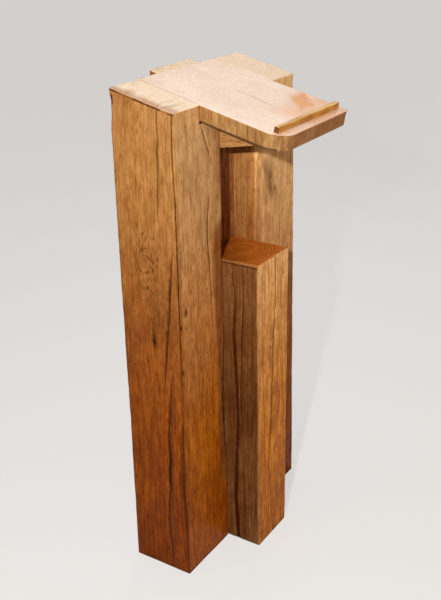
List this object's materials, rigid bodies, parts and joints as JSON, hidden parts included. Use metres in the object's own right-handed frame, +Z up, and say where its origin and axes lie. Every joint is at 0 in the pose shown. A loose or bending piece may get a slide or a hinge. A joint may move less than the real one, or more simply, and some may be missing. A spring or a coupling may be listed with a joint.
{
  "type": "lectern",
  "caption": "Standing lectern of hewn oak beams in a cross, with a raked desk board let into their heads, a book ledge and a niche over a low shelf post.",
  "frame": {"origin": "on the floor, midway across the overall width and depth", "axes": "+X across the desk, to the right of a reader who faces it; +Y away from the reader; +Z up"},
  "size_m": [0.521, 0.3767, 1.1587],
  "materials": {
    "hewn_oak": "hewn and sanded oak under a satin varnish",
    "desk_oak": "pale end-grain oak under a glossy varnish",
    "ledge_oak": "honey-coloured oak under a glossy varnish"
  },
  "bodies": {
    "root": {"left_post": "hewn_oak", "right_post": "hewn_oak", "back_post": "hewn_oak", "shelf_post": "hewn_oak", "desk_board": "desk_oak", "desk_bearer": "desk_oak", "book_ledge": "ledge_oak"}
  },
  "joints": []
}
